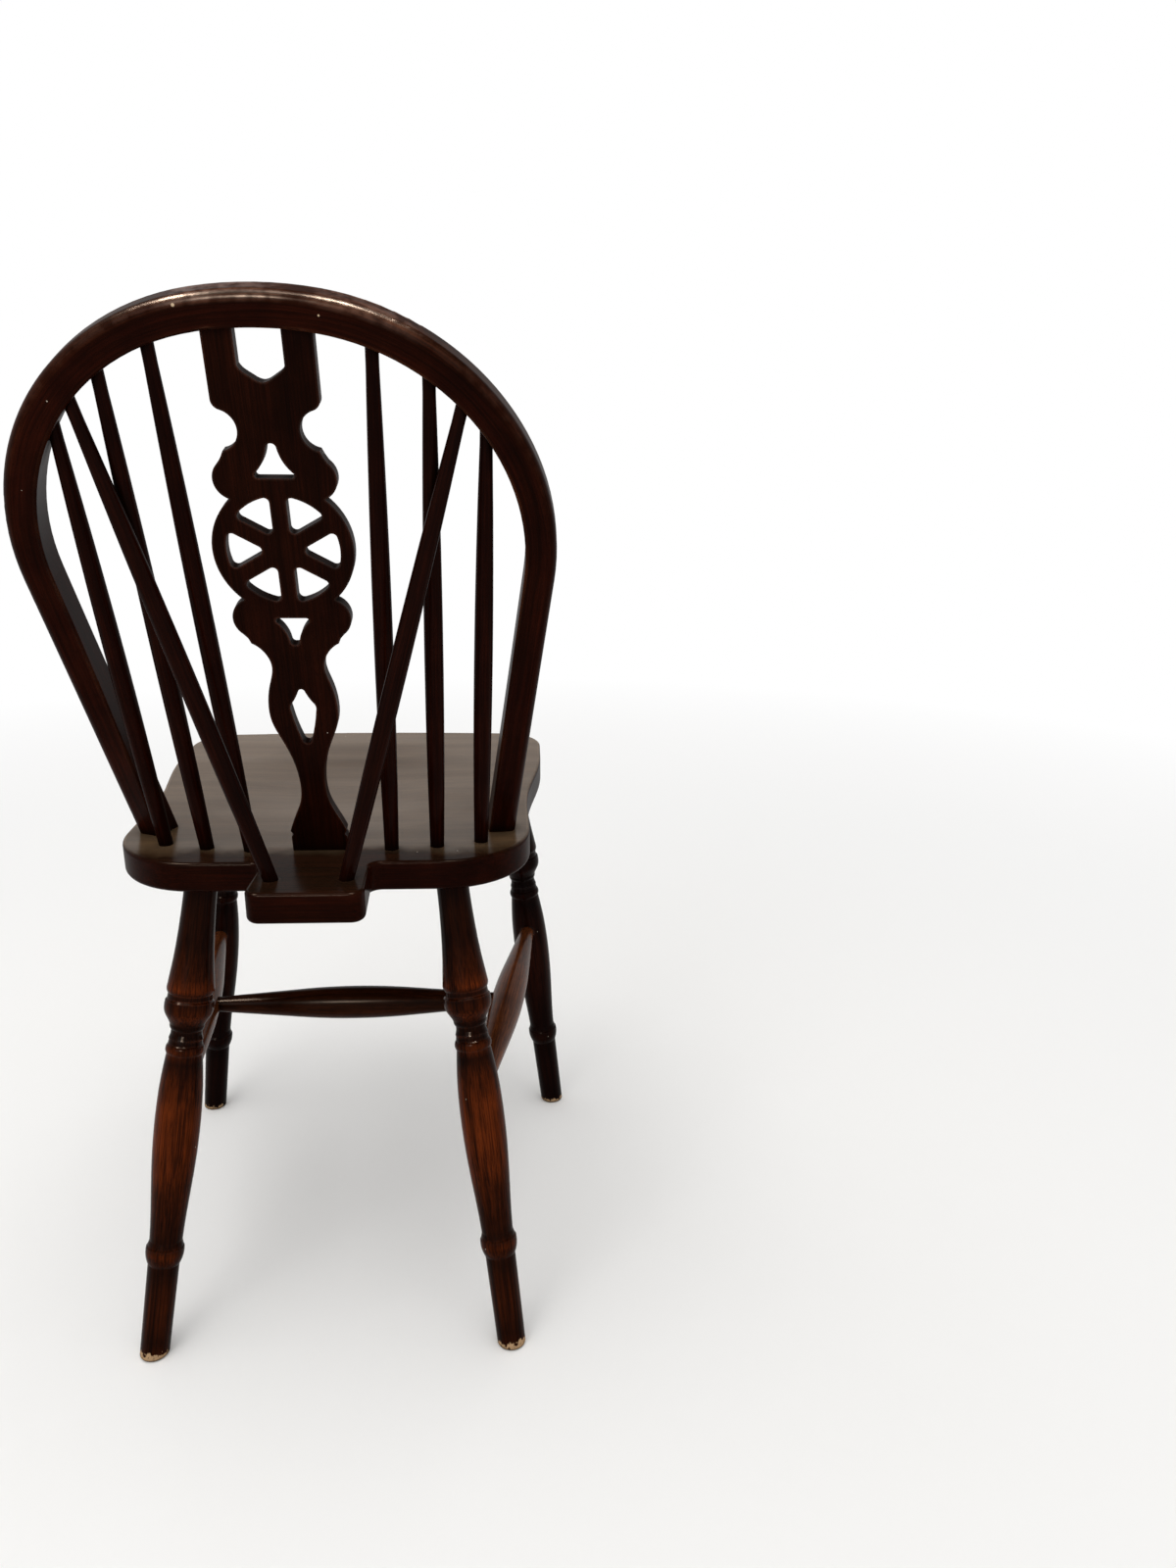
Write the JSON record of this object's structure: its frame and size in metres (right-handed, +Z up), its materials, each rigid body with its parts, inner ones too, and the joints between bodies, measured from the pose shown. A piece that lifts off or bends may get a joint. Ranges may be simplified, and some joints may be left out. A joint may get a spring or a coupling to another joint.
{
  "type": "wheelback chair",
  "caption": "Wooden dining chair with a bent hoop back, a pierced wheel splat between turned sticks, bracing sticks to a seat tail, and turned legs joined by stretchers.",
  "frame": {"origin": "the middle of the chair's bounding box, on the floor", "axes": "the chair faces -Y with its back at +Y, +X is the sitter's left and +Z is up"},
  "size_m": [0.4192, 0.4796, 0.8538],
  "materials": {
    "back_wood": "dark red-brown glossy lacquer on turned and bent hardwood",
    "leg_wood": "red-brown glossy lacquer, worn warmer on the swellings, dark in the grooves",
    "seat_wood": "dark red-brown satin lacquer on a solid board",
    "wedge_wood": "dark red-brown lacquer on end grain"
  },
  "bodies": {
    "root": {"brace_stick_left": "back_wood", "brace_stick_right": "back_wood", "cross_stretcher": "leg_wood", "hoop": "back_wood", "hoop_wedge_left": "wedge_wood", "hoop_wedge_right": "wedge_wood", "leg_back_left": "leg_wood", "leg_back_right": "leg_wood", "leg_front_left": "leg_wood", "leg_front_right": "leg_wood", "seat": "seat_wood", "side_stretcher_left": "leg_wood", "side_stretcher_right": "leg_wood", "splat": "back_wood", "stick_inner_left": "back_wood", "stick_inner_right": "back_wood", "stick_middle_left": "back_wood", "stick_middle_right": "back_wood", "stick_outer_left": "back_wood", "stick_outer_right": "back_wood"}
  },
  "joints": []
}
